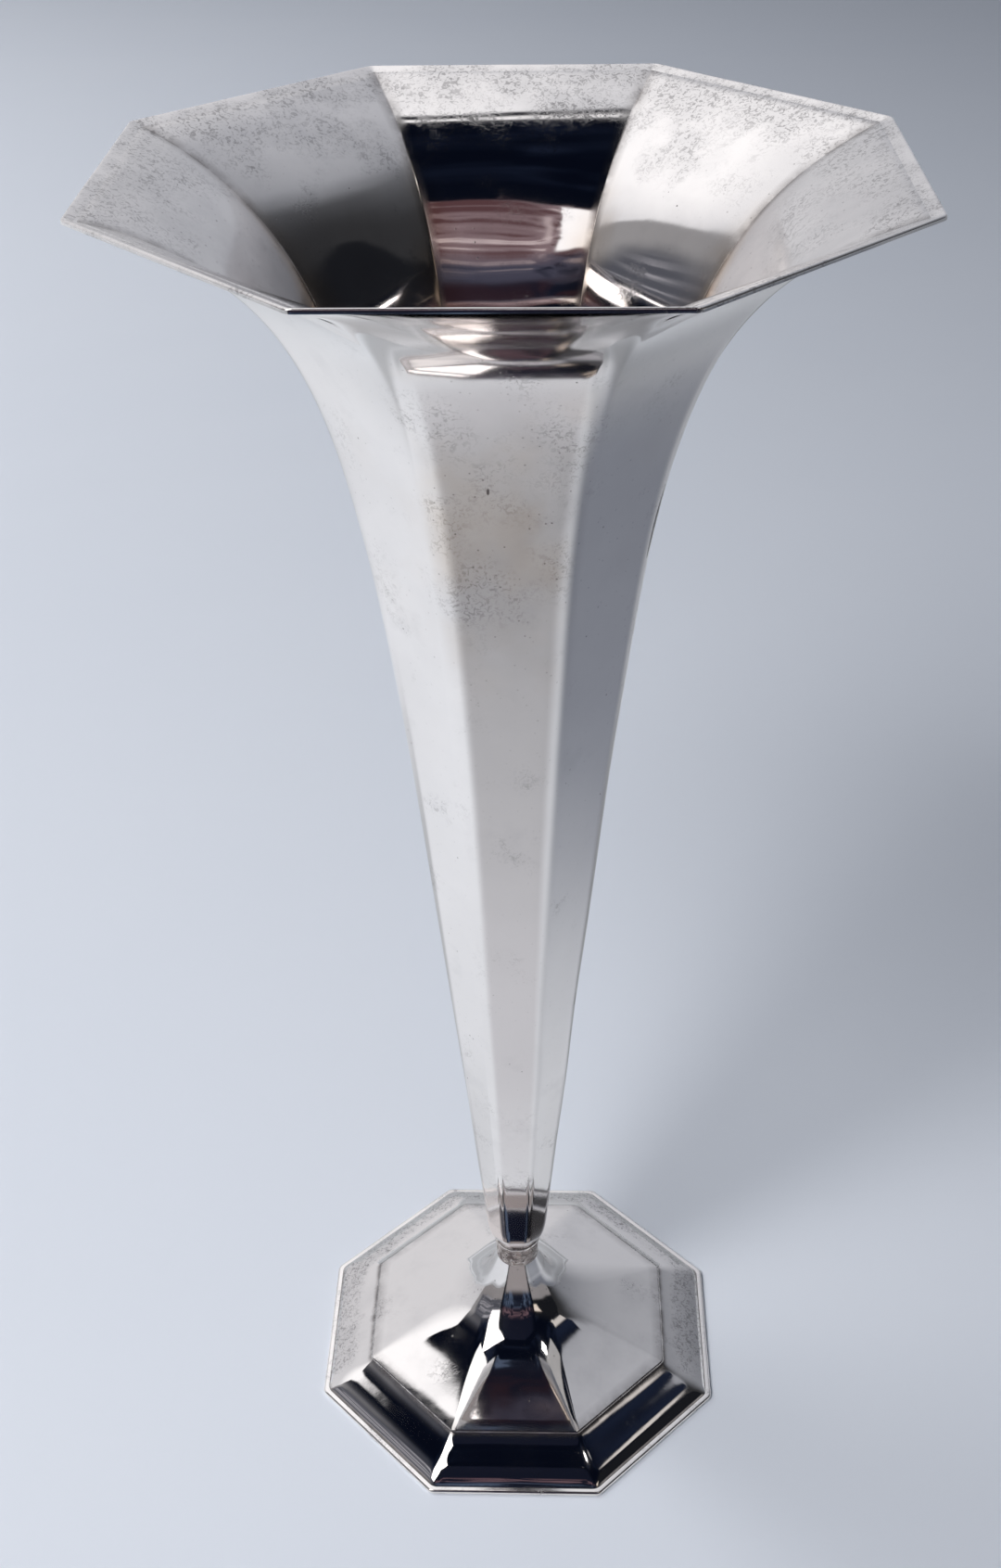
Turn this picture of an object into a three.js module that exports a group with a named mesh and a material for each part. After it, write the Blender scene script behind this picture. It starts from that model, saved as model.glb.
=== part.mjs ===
// Silver trumpet vase, in millimetres, with +Z up. An eight-sided sheet body flares to a wired lip. A cup
// closes its lower end, and the cup's tenon passes through a turned collar into the neck of a moulded foot.
// The origin is the centre of the face that the vase stands on, and one flat of the octagon faces -Y.
import * as THREE from 'three';

// Overall sizes. Every width of an eight-sided piece is measured across opposite flats.
const SIDES = 8;
const HEIGHT = 305;
const MOUTH_WIDTH = 142;
const FOOT_WIDTH = 99;

// Clearance that solder fills where one piece slides into another.
const SOLDER_GAP = 0.15;

// Body: a straight taper, plus a flare that falls off below the lip as a power of one plus depth over length.
const BODY_GAUGE = 0.9;
const TAPER_LOWER_WIDTH = 14.6;
const TAPER_UPPER_WIDTH = 60.6;
const FLARE_LENGTH = 48;
const FLARE_POWER = 3;
const BODY_ARRIS_RADIUS = 2.5;

// Wire on the lip, whose section is a wedge with a rounded outer edge.
const RIM_WIRE_HEIGHT = 1.2;
const RIM_EDGE_RADIUS = 0.4;

// Cup that closes the body, with its lap inside the body and its tenon below.
const CUP_HEIGHT = 8.4;
const CUP_BASE_WIDTH = 9.8;
const CUP_SHOULDER_RISE = 1.3;
const CUP_GAUGE = 0.9;
const CUP_FLOOR = 1.6;
const CUP_LAP = 5;
const TENON_WIDTH = 6.8;
const TENON_DEPTH = 5;

// Turned collar.
const COLLAR_HEIGHT = 6.6;
const COLLAR_RADIUS = 5.2;
const BEAD_HEIGHT = 1.6;
const BEAD_PROJECTION = 0.45;

// Foot, from its outer edge inward and upward: ledge, ovolo, cavetto, riser, sloping top and conical neck.
const FOOT_GAUGE = 0.9;
const LEDGE_WIDTH = 0.6;
const OVOLO_WIDTH = 7.9;
const OVOLO_HEIGHT = 5.8;
const OVOLO_FOOT_LEAN = 1;
const OVOLO_FOOT_REACH = 1.8;
const OVOLO_CROWN_REACH = 2.9;
const CAVETTO_WIDTH = 3.8;
const CAVETTO_HEIGHT = 0.6;
const CAVETTO_REACH = 2.8;
const RISER_HEIGHT = 0.5;
const SLOPE_RISE = 12.4;
const NECK_ROOT_WIDTH = 19.2;
const NECK_WIDTH = 9.8;
const NECK_RISE = 10.5;
const NECK_BEND_REACH = 3.8;
const FOOT_ARRIS_RADIUS = 4;

// Flat wire under the foot.
const FOOT_WIRE_WIDTH = 5;
const FOOT_WIRE_THICKNESS = 1.2;

// Smoothness: the upper share of the body is drawn as a curve, and an arris is three points of an arc.
const CURVED_SHARE = 0.5;
const FLARE_STEPS = 14;
const CURVE_STEPS = 6;
const ARRIS_POINTS = 3;
const ARRIS_LIMIT = 0.8;
const TURNED_STEPS = 40;

// Heights, stacked from the table up.
const wireTop = FOOT_WIRE_THICKNESS;
const ovoloTop = wireTop + OVOLO_HEIGHT;
const cavettoTop = ovoloTop + CAVETTO_HEIGHT;
const riserTop = cavettoTop + RISER_HEIGHT;
const neckRoot = riserTop + SLOPE_RISE;
const neckTop = neckRoot + NECK_RISE;
const collarTop = neckTop + COLLAR_HEIGHT;
const seam = collarTop + CUP_HEIGHT;
const lipSeat = HEIGHT - RIM_WIRE_HEIGHT;

// Distances from the axis to the flats of the foot, from its edge in.
const footEdge = FOOT_WIDTH / 2;
const ovoloFoot = footEdge - LEDGE_WIDTH;
const ovoloCrown = ovoloFoot - OVOLO_WIDTH;
const slopeEdge = ovoloCrown - CAVETTO_WIDTH;
const neckRootFlat = NECK_ROOT_WIDTH / 2;
const neckFlat = NECK_WIDTH / 2;
const tenonFlat = TENON_WIDTH / 2;

const HALF_SIDE = Math.PI / SIDES;

function silver(color, roughness) {
  return new THREE.MeshStandardMaterial({ color, roughness, metalness: 1, flatShading: true });
}

// Closes an outline on itself, as a ring's section has to be.
function closed(points) {
  return [...points, points[0].clone()];
}

// An eight-sided solid. The outline holds the distance to the flats and the height, and runs anticlockwise.
// Every arris is an arc between two flats, limited so that the flats never vanish.
function octagonal(outline, arrisRadius) {
  const columns = SIDES * ARRIS_POINTS;
  const geometry = new THREE.LatheGeometry(outline, columns);
  const position = geometry.attributes.position;
  for (let index = 0; index < position.count; index += 1) {
    const { x: flat, y: height } = outline[index % outline.length];
    const column = Math.floor(index / outline.length) % columns;
    const corner = (2 * Math.floor(column / ARRIS_POINTS) + 1) * HALF_SIDE;
    const turn = ((column % ARRIS_POINTS) / (ARRIS_POINTS - 1)) * 2 * HALF_SIDE - HALF_SIDE;
    const radius = Math.min(arrisRadius, ARRIS_LIMIT * flat);
    const centre = (flat - radius) / Math.cos(HALF_SIDE);
    const x = centre * Math.cos(corner) + radius * Math.cos(corner + turn);
    const y = centre * Math.sin(corner) + radius * Math.sin(corner + turn);
    position.setXYZ(index, x, y, height);
  }
  geometry.computeVertexNormals();
  return geometry;
}

// A round solid turned about the vertical axis.
function turned(outline) {
  return new THREE.LatheGeometry(outline, TURNED_STEPS).rotateX(Math.PI / 2);
}

// The body's outside: its distance to the flats at a height, and how fast that grows with height.
const taperSlope = (TAPER_UPPER_WIDTH - TAPER_LOWER_WIDTH) / 2 / (lipSeat - seam);
const flareSize = (MOUTH_WIDTH - TAPER_UPPER_WIDTH) / 2;

function bodyOutside(height) {
  const taper = TAPER_LOWER_WIDTH / 2 + taperSlope * (height - seam);
  const depth = 1 + (lipSeat - height) / FLARE_LENGTH;
  return taper + flareSize / depth ** FLARE_POWER;
}

function bodySlope(height) {
  const depth = 1 + (lipSeat - height) / FLARE_LENGTH;
  return taperSlope + ((flareSize / FLARE_LENGTH) * FLARE_POWER) / depth ** (FLARE_POWER + 1);
}

function bodyInside(height) {
  return bodyOutside(height) - BODY_GAUGE * Math.hypot(1, bodySlope(height));
}

// Heights that draw the body: its seam, then steps up the flare that close up towards the lip.
function bodyHeights() {
  const reach = CURVED_SHARE * (lipSeat - seam);
  const heights = [seam];
  for (let step = 0; step <= FLARE_STEPS; step += 1) {
    heights.push(lipSeat - reach * (1 - step / FLARE_STEPS) ** 2);
  }
  return heights;
}

function trumpetBody() {
  const heights = bodyHeights();
  const outside = heights.map((height) => new THREE.Vector2(bodyOutside(height), height));
  const inside = heights.reverse().map((height) => new THREE.Vector2(bodyInside(height), height));
  return octagonal(closed([...outside, ...inside]), BODY_ARRIS_RADIUS);
}

// The lip wire stands on the level edge of the body, is as wide as that edge and carries on its inside slope.
function rimWire() {
  const outer = bodyOutside(lipSeat);
  const inner = bodyInside(lipSeat);
  const edgeTurn = Math.PI / 2 + Math.atan2(1, bodySlope(lipSeat));
  const section = new THREE.Path();
  section.moveTo(outer, lipSeat);
  section.lineTo(outer, HEIGHT - RIM_EDGE_RADIUS);
  section.absarc(outer - RIM_EDGE_RADIUS, HEIGHT - RIM_EDGE_RADIUS, RIM_EDGE_RADIUS, 0, edgeTurn, false);
  section.lineTo(inner, lipSeat);
  return octagonal(closed(section.getPoints(CURVE_STEPS)), BODY_ARRIS_RADIUS);
}

// The cup's outside carries the body's taper down and turns in to the collar. Its lap slides into the body.
function endCup() {
  const lapTop = seam + CUP_LAP;
  const lapOutside = (height) => bodyInside(height) - SOLDER_GAP;
  const lapInside = (height) => lapOutside(height) - CUP_GAUGE;
  const shoulder = collarTop + CUP_SHOULDER_RISE;
  const floor = collarTop + CUP_FLOOR;
  const floorShoulder = floor + CUP_SHOULDER_RISE;
  const baseFlat = CUP_BASE_WIDTH / 2;
  const outline = new THREE.Path();
  outline.moveTo(0, neckTop - TENON_DEPTH);
  outline.lineTo(tenonFlat, neckTop - TENON_DEPTH);
  outline.lineTo(tenonFlat, collarTop);
  outline.lineTo(baseFlat, collarTop);
  outline.quadraticCurveTo(bodyOutside(shoulder), shoulder, bodyOutside(seam), seam);
  outline.lineTo(lapOutside(seam), seam);
  outline.lineTo(lapOutside(lapTop), lapTop);
  outline.lineTo(lapInside(lapTop), lapTop);
  outline.lineTo(lapInside(seam), seam);
  outline.quadraticCurveTo(lapInside(floorShoulder), floorShoulder, baseFlat - CUP_GAUGE, floor);
  outline.lineTo(0, floor);
  return octagonal(outline.getPoints(CURVE_STEPS), BODY_ARRIS_RADIUS);
}

// The collar is bored to clear the corners of the tenon, and its bead lies under the cup.
function neckCollar() {
  const bore = tenonFlat / Math.cos(HALF_SIDE) + SOLDER_GAP;
  const beadHalf = BEAD_HEIGHT / 2;
  const beadMiddle = collarTop - beadHalf;
  const section = new THREE.Path();
  section.moveTo(bore, neckTop);
  section.lineTo(COLLAR_RADIUS, neckTop);
  section.absellipse(COLLAR_RADIUS, beadMiddle, BEAD_PROJECTION, beadHalf, -Math.PI / 2, Math.PI / 2, false);
  section.lineTo(bore, collarTop);
  return turned(closed(section.getPoints(CURVE_STEPS)));
}

// A curve from one straight line to another that meet at a corner, touching each at the given reach from it.
function easedCorner(outline, before, corner, after, reach) {
  const start = corner.clone().lerp(before, reach / corner.distanceTo(before));
  const end = corner.clone().lerp(after, reach / corner.distanceTo(after));
  outline.lineTo(start.x, start.y);
  outline.quadraticCurveTo(corner.x, corner.y, end.x, end.y);
}

// The foot is one sheet: its outside from the ledge up to the neck, then its bore and its hollow underside.
function footShell() {
  const slope = SLOPE_RISE / (slopeEdge - neckRootFlat);
  const drop = FOOT_GAUGE * Math.hypot(1, slope);
  const bore = tenonFlat + SOLDER_GAP;
  const boreBend = neckRoot - drop + slope * (neckRootFlat - bore);
  const riserInside = slopeEdge - FOOT_GAUGE;
  const crownInside = ovoloTop - FOOT_GAUGE;
  const leanHeight = wireTop + OVOLO_FOOT_REACH;
  const crownReach = ovoloCrown + OVOLO_CROWN_REACH;
  const slopeStart = new THREE.Vector2(slopeEdge, riserTop);
  const neckCorner = new THREE.Vector2(neckRootFlat, neckRoot);
  const neckEnd = new THREE.Vector2(neckFlat, neckTop);
  const outline = new THREE.Path();
  outline.moveTo(ovoloFoot, wireTop);
  outline.bezierCurveTo(ovoloFoot - OVOLO_FOOT_LEAN, leanHeight, crownReach, ovoloTop, ovoloCrown, ovoloTop);
  outline.quadraticCurveTo(ovoloCrown - CAVETTO_REACH, ovoloTop, slopeEdge, cavettoTop);
  outline.lineTo(slopeStart.x, slopeStart.y);
  easedCorner(outline, slopeStart, neckCorner, neckEnd, NECK_BEND_REACH);
  outline.lineTo(neckEnd.x, neckEnd.y);
  outline.lineTo(bore, neckTop);
  outline.lineTo(bore, neckTop - TENON_DEPTH);
  outline.quadraticCurveTo(bore, boreBend, neckRootFlat, neckRoot - drop);
  outline.lineTo(riserInside, riserTop + slope * FOOT_GAUGE - drop);
  outline.lineTo(riserInside, crownInside);
  outline.lineTo(ovoloCrown, crownInside);
  outline.bezierCurveTo(
    crownReach,
    crownInside,
    ovoloFoot - OVOLO_FOOT_LEAN - FOOT_GAUGE,
    leanHeight,
    ovoloFoot - FOOT_GAUGE,
    wireTop,
  );
  return octagonal(closed(outline.getPoints(CURVE_STEPS)), FOOT_ARRIS_RADIUS);
}

// The foot wire has a half-round outer edge and a level top that the foot's sheet stands on.
function footWire() {
  const inner = footEdge - FOOT_WIRE_WIDTH;
  const edgeRadius = FOOT_WIRE_THICKNESS / 2;
  const section = new THREE.Path();
  section.moveTo(inner, 0);
  section.lineTo(footEdge - edgeRadius, 0);
  section.absarc(footEdge - edgeRadius, edgeRadius, edgeRadius, -Math.PI / 2, Math.PI / 2, false);
  section.lineTo(inner, wireTop);
  return octagonal(closed(section.getPoints(CURVE_STEPS)), FOOT_ARRIS_RADIUS);
}

const vase = new THREE.Group();

function addPiece(name, geometry, material) {
  const piece = new THREE.Mesh(geometry, material);
  piece.name = name;
  vase.add(piece);
}

addPiece('trumpet_body', trumpetBody(), silver(0xcbc7c4, 0.22));
addPiece('rim_wire', rimWire(), silver(0xd2cfcc, 0.2));
addPiece('end_cup', endCup(), silver(0xcbc7c4, 0.15));
addPiece('neck_collar', neckCollar(), silver(0x8f8582, 0.45));
addPiece('foot_shell', footShell(), silver(0xc9c6c8, 0.2));
addPiece('foot_wire', footWire(), silver(0xbdbabd, 0.25));

export default vase;
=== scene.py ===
import math
from collections import namedtuple
from functools import reduce

import bpy
import numpy as np
from mathutils import Matrix, Vector, noise


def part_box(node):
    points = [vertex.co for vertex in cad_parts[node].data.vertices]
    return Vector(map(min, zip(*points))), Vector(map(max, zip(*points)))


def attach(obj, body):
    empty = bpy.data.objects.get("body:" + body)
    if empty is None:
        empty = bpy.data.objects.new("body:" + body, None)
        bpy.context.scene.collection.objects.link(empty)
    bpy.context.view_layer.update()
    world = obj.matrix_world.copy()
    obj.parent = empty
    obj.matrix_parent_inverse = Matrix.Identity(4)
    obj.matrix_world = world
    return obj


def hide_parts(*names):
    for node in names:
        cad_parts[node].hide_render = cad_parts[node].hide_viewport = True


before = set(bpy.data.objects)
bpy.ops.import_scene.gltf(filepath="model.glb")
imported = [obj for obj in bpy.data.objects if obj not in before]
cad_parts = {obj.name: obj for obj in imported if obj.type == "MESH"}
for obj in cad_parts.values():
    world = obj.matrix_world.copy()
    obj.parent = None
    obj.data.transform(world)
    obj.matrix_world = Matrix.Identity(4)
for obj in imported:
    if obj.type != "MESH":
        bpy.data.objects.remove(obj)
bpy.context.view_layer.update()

# Silver trumpet vase, in metres and in the frame of its solids. Every eight-sided piece is a loft of rounded
# octagons, drawn finer than its solid. Body, lip wire, collar and foot are slightly uneven, as handwork is.

MM = 0.001
SIDES = 8
HALF_SIDE = math.pi / SIDES
RIGHT_ANGLE = 90

# Heights and distances to the flats, as the solids have them.
BODY_LOW, BODY_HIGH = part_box("trumpet_body")
CUP_LOW, CUP_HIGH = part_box("end_cup")
_, COLLAR_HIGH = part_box("neck_collar")
_, FOOT_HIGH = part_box("foot_shell")
_, WIRE_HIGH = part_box("foot_wire")
SEAM = BODY_LOW.z
LIP_SEAT = BODY_HIGH.z
MOUTH_FLAT = BODY_HIGH.x
TENON_END = CUP_LOW.z
LAP_TOP = CUP_HIGH.z
COLLAR_TOP = COLLAR_HIGH.z
NECK_TOP = FOOT_HIGH.z
WIRE_TOP = WIRE_HIGH.z
FOOT_EDGE = WIRE_HIGH.x

# Body: a straight taper plus a flare, the gauge of its sheet and the radius of its inner corners.
GAUGE = 0.9 * MM
TAPER_LOWER_FLAT = 7.3 * MM
TAPER_UPPER_FLAT = 30.3 * MM
FLARE_LENGTH = 48 * MM
FLARE_POWER = 3
CREASE = 0.8 * MM

# Radius of the body's rounded outer corners: broad in the flare, tight at the lip and at the seam. The flare
# has its radius between these two depths below the lip.
ARRIS_AT_SEAM = 2.6 * MM
ARRIS_IN_FLARE = 7.5 * MM
ARRIS_AT_LIP = 2.4 * MM
FLARE_ARRIS_TOP = 9 * MM
FLARE_ARRIS_END = 70 * MM

# Lip wire: the radius of its edge, and the depth at which the slope that its inside goes on with is taken.
LIP_EDGE = 0.4 * MM
LIP_SLOPE_DEPTH = 0.1 * MM

# Cup, tenon and collar. The cup's ends close to the small flat at the axis.
CUP_BASE_FLAT = 4.9 * MM
CUP_SHOULDER_RISE = 1.3 * MM
CUP_FLOOR = 1.6 * MM
SOLDER_GAP = 0.15 * MM
TENON_FLAT = 3.4 * MM
TENON_DEPTH = 5 * MM
AXIS_FLAT = 0.02 * MM
COLLAR_RADIUS = 5.2 * MM
COLLAR_EASE = 0.25 * MM
BEAD_HEIGHT = 1.6 * MM
BEAD_PROJECTION = 0.42 * MM

# Foot section, from the ledge inward and upward: each point is a distance to the flats and a height.
OVOLO_FOOT = (48.2 * MM, WIRE_TOP)
OVOLO_LEAN = (46.8 * MM, 3.3 * MM)
CROWN_HANDLE = (43.2 * MM, 4.6 * MM)
CROWN = (40.8 * MM, 5.75 * MM)
COVE_HANDLE = (38.6 * MM, 6.8 * MM)
COVE_TOP = (37.4 * MM, 7.65 * MM)
SLOPE_EDGE = (37.2 * MM, 8.1 * MM)
SLOPE_HANDLE = (10.0 * MM, 17.3 * MM)
NECK_HANDLE = (9.9 * MM, 19.9 * MM)
NECK = (4.9 * MM, NECK_TOP)
CORNER_EASE = 0.3 * MM
FOOT_WIRE_WIDTH = 5 * MM

# The slope's underside lies this many gauges of sheet below its top.
SLOPE_GAUGES = 1.2

# Radius of the foot's rounded corners, by distance to the flats, and of its wire's.
FOOT_ARRIS_AT = tuple(MM * flat for flat in (5, 7, 10, 14, 20, 26, 32, 36, 41, 46, 48.9))
FOOT_ARRIS = tuple(MM * radius for radius in (2, 4, 8, 11, 10, 7, 4, 1.4, 4, 5.5, 2.2))
EDGE_ARRIS = 2.2 * MM

# Fineness: steps along each flat and round each corner, columns of the round collar, and rows. The step's
# eased edge takes the place of the slope's first rows, and aims at a later one.
BODY_MESH = (22, 10)
RIM_MESH = (24, 8)
CUP_MESH = (8, 6)
FOOT_MESH = (18, 10)
FOOT_WIRE_MESH = (16, 8)
COLLAR_COLUMNS = 96
BODY_ROW_AT_SEAM = 3.0 * MM
BODY_ROW_AT_LIP = 0.7 * MM
SLOPE_ROWS = 56
SLOPE_ROWS_EASED = 2
SLOPE_ROW_AIMED_AT = 4
UNDERSIDE_ROWS = slice(34, 3, -5)
SHARP_ANGLE = math.radians(40)

# Largest share of its flat that a corner's radius takes, and of its side that an eased edge takes.
ARRIS_LIMIT = 0.8
EASE_LIMIT = 0.45

# Unevenness: pairs of a wavelength and a height, and a seed, for each piece that has it.
BODY_WAVES = ((46 * MM, 0.20 * MM), (26 * MM, 0.16 * MM), (9 * MM, 0.008 * MM))
RIM_WAVES = ((12 * MM, 0.05 * MM),)
COLLAR_WAVES = ((1.3 * MM, 0.07 * MM), (0.6 * MM, 0.04 * MM))
FOOT_WAVES = ((26 * MM, 0.06 * MM), (10 * MM, 0.02 * MM))
BODY_SEED, RIM_SEED, COLLAR_SEED, FOOT_SEED = 1, 2, 3, 4
SEED_STEP = (7.31, 1.9, 0.0)
WAVE_STEP = (3.7, 0.0, 5.3)
INSIDE_MORE_UNEVEN = 1.6

# Lengths, rows and a power that keep the pieces even where they meet others.
EVEN_BELOW_LIP = 3 * MM
EVEN_ABOVE_SEAM = 6 * MM
EVEN_ABOVE_LEDGE = 1 * MM
EVEN_ROWS_AT_NECK = 8
EVEN_COLLAR_POWER = 4

# Marks on the body, as strengths, depths below the lip and widths. A worn cloud of film and specks lies on
# its outside, mostly on the front panel; its darkening there is partly real film and partly painted shade. A
# ramp is where a mark starts and the width over which it grows.
CLOUD_DEPTH, CLOUD_SPREAD = 55 * MM, 30 * MM
CLOUD_FRONT_RAMP = (0.88, 0.06)
CLOUD_ELSEWHERE = 0.2
LIP_WEAR_DEPTH = 10 * MM
WEAR_INSIDE, WEAR_AT_LIP, WEAR_OUTSIDE, WEAR_IN_CLOUD = 0.10, 1.15, 0.15, 0.55
HAZE_INSIDE, HAZE_OUTSIDE, HAZE_IN_CLOUD = 0.7, 0.15, 0.7
HAZE_SIDE_RAMP = (0.78, 0.15)
CREASE_LINE, CREASE_STRENGTH = 0.8 * MM, 0.8
TAN_DEPTH_RAMP = (8 * MM, 14 * MM)
TAN_LINE, TAN_LINE_SPREAD = 1.5 * MM, 4.5 * MM
TAN_IN_CLOUD = 0.4

# Wear of the wires and the cup.
RIM_WEAR, RIM_WEAR_INSIDE = 0.6, 0.5
CUP_WEAR = 0.15
FOOT_WIRE_WEAR = 0.4

# Marks on the foot: its moulding and step are worn, except in front, its neck is hazy, and it is darker along
# the step's corner and just above its wire.
MOULDING_RAMP = (CROWN[0] - 1 * MM, 3 * MM)
STEP_WEAR_SPREAD = 1.5 * MM
UNWORN_FRONT_RAMP = (0.30, 0.12)
FOOT_WEAR, MOULDING_WEAR, STEP_WEAR, UNDERSIDE_WEAR = 0.08, 0.95, 0.5, 0.7
NECK_RAMP = (16 * MM, 5 * MM)
MOULDING_HAZE, NECK_HAZE = 0.3, 0.75
CORNER_LINE_FLAT, CORNER_LINE, CORNER_LINE_STRENGTH = COVE_TOP[0] + 0.1 * MM, 0.6 * MM, 0.85
LEDGE_LINE, LEDGE_LINE_STRENGTH = 0.7 * MM, 0.9

# Image that the camera fills, and the camera itself: place, downward pitch, turn to the left and roll.
IMAGE_WIDTH, IMAGE_HEIGHT = 1080, 1691
FOCAL_PIXELS = 2004.2
SENSOR = 36.0
CAMERA_PLACE = Vector((8.7, -325.1, 396.5)) * MM
CAMERA_PITCH = math.radians(34.228)
CAMERA_YAW = math.radians(1.965)
CAMERA_ROLL = math.radians(-0.889)
CAMERA_NEAREST = 10 * MM


def body_outside(height):
    taper = (TAPER_UPPER_FLAT - TAPER_LOWER_FLAT) * (height - SEAM) / (LIP_SEAT - SEAM)
    depth = 1 + (LIP_SEAT - height) / FLARE_LENGTH
    return TAPER_LOWER_FLAT + taper + (MOUTH_FLAT - TAPER_UPPER_FLAT) / depth**FLARE_POWER


def body_slope(height):
    step = 0.01 * MM
    return (body_outside(height + step) - body_outside(height - step)) / (2 * step)


def body_inside(height):
    return body_outside(height) - GAUGE * math.hypot(1, body_slope(height))


def body_arris(height):
    places = (SEAM, LIP_SEAT - FLARE_ARRIS_END, LIP_SEAT - FLARE_ARRIS_TOP, LIP_SEAT)
    return np.interp(height, places, (ARRIS_AT_SEAM, ARRIS_IN_FLARE, ARRIS_IN_FLARE, ARRIS_AT_LIP))


# Outlines are lists of (distance to the flats, height).


def line(start, end, steps):
    """Points from start up to, but not at, end."""
    return [tuple(a + (b - a) * i / steps for a, b in zip(start, end)) for i in range(steps)]


def ellipse(centre, radii, start, end, steps):
    """Points of an elliptical arc between two angles in degrees, ends included."""
    turns = [math.radians(start + (end - start) * i / steps) for i in range(steps + 1)]
    return [(centre[0] + radii[0] * math.cos(t), centre[1] + radii[1] * math.sin(t)) for t in turns]


def weighted(shares, points):
    return tuple(sum(share * point[axis] for share, point in zip(shares, points)) for axis in (0, 1))


def bend(start, control, end, steps):
    """Points of a quadratic curve, ends included."""
    points = []
    for i in range(steps + 1):
        t = i / steps
        shares = ((1 - t) ** 2, 2 * t * (1 - t), t * t)
        points.append(weighted(shares, (start, control, end)))
    return points


def sweep(start, first, second, end, steps):
    """Points of a cubic curve, ends included."""
    points = []
    for i in range(steps + 1):
        t = i / steps
        shares = ((1 - t) ** 3, 3 * t * (1 - t) ** 2, 3 * t * t * (1 - t), t**3)
        points.append(weighted(shares, (start, first, second, end)))
    return points


def eased(before, corner, after, radius, steps):
    """A corner with its edge taken off by a small curve."""
    corner_point, back, ahead = (np.array(point, float) for point in (corner, before, after))
    start, end = (corner_point + side * min(EASE_LIMIT, radius / np.linalg.norm(side))
                  for side in (back - corner_point, ahead - corner_point))
    return bend(tuple(start), tuple(corner_point), tuple(end), steps)


def under_sheet(point, inward, down):
    """A point moved inward and down by those numbers of the sheet's gauge."""
    return point[0] - inward * GAUGE, point[1] - down * GAUGE


# Grids are arrays of rows, columns and xyz, with one row for each point of an outline.


def octagon_grid(outline, arris, flat_steps, arris_steps):
    """Rows of octagons whose corners have the radius arris, one for all rows or one for each."""
    flats, heights = np.array(outline, float).T
    radius = np.minimum(np.broadcast_to(arris, flats.shape), ARRIS_LIMIT * flats)[:, None]
    flat = flats[:, None]
    x, y = [], []
    for side in range(SIDES):
        turn = 2 * HALF_SIDE * side
        along = np.linspace(-1, 1, flat_steps + 1)[None, :] * (flat - radius) * math.tan(HALF_SIDE)
        x.append(flat * math.cos(turn) - along * math.sin(turn))
        y.append(flat * math.sin(turn) + along * math.cos(turn))
        corner = turn + HALF_SIDE
        centre = (flat - radius) / math.cos(HALF_SIDE)
        round_corner = turn + 2 * HALF_SIDE * np.arange(1, arris_steps)[None, :] / arris_steps
        x.append(centre * math.cos(corner) + radius * np.cos(round_corner))
        y.append(centre * math.sin(corner) + radius * np.sin(round_corner))
    x, y = np.concatenate(x, 1), np.concatenate(y, 1)
    return np.stack([x, y, np.broadcast_to(heights[:, None], x.shape)], 2)


def round_grid(outline, columns):
    """Rows of circles."""
    radii, heights = np.array(outline, float).T
    turn = np.linspace(0, 2 * math.pi, columns, endpoint=False)[None, :]
    x = radii[:, None] * np.cos(turn)
    y = radii[:, None] * np.sin(turn)
    return np.stack([x, y, np.broadcast_to(heights[:, None], x.shape)], 2)


def grid_normals(grid):
    """Unit normals of a grid that wraps round in both directions."""
    along = np.roll(grid, -1, 1) - np.roll(grid, 1, 1)
    up = np.roll(grid, -1, 0) - np.roll(grid, 1, 0)
    normal = np.cross(along, up)
    least = 1e-12
    return normal / np.maximum(np.linalg.norm(normal, axis=2, keepdims=True), least)


def uneven(grid, waves, seed, weight=1.0):
    """Moves a grid along its normals by smooth noise: waves are (wavelength, height) pairs."""
    normal = grid_normals(grid)
    shift = np.zeros(grid.shape[:2])
    for order, (length, height) in enumerate(waves):
        offset = Vector(np.multiply(SEED_STEP, seed) + np.multiply(WAVE_STEP, order))
        values = [noise.noise(Vector(p) / length + offset) for p in grid.reshape(-1, 3)]
        shift += height * np.array(values).reshape(shift.shape)
    return grid + normal * (shift * weight)[:, :, None]


def spread_heights(low, high, step_low, step_high):
    """Heights from low to high whose steps change evenly from one size to the other."""
    heights = [low]
    while heights[-1] < high:
        share = (heights[-1] - low) / (high - low)
        heights.append(heights[-1] + step_low + (step_high - step_low) * share)
    heights = np.array(heights)
    return list(low + (heights - low) * (high - low) / (heights[-1] - low))


# Masks are numbers from about 0 to 1 at the points of a grid, and say how strong a mark is there.


def ramp(values, start, width):
    """Nothing up to start, growing to one over that width."""
    return np.clip((values - start) / width, 0, 1)


def bell(values, centre, width):
    """One at the centre, falling off on both sides."""
    return np.exp(-(((values - centre) / width) ** 2))


def from_axis(grid):
    return np.linalg.norm(grid[:, :, :2], axis=2)


def frontness(grid):
    """One straight in front of the axis, minus one straight behind it."""
    return -grid[:, :, 1] / from_axis(grid)


def sideness(grid):
    """One straight to the left or right of the axis, nothing in front and behind."""
    return np.abs(grid[:, :, 0]) / from_axis(grid)


def crease_mask(grid, width):
    """One along the lines between two flats, falling to nothing at that distance across."""
    turn = np.arctan2(grid[:, :, 1], grid[:, :, 0])
    off_corner = np.abs(turn % (2 * HALF_SIDE) - HALF_SIDE)
    return np.clip(1 - off_corner * from_axis(grid) / width, 0, 1)


def add_object(name, data):
    thing = bpy.data.objects.new(name, data)
    bpy.context.scene.collection.objects.link(thing)
    return thing


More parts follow.
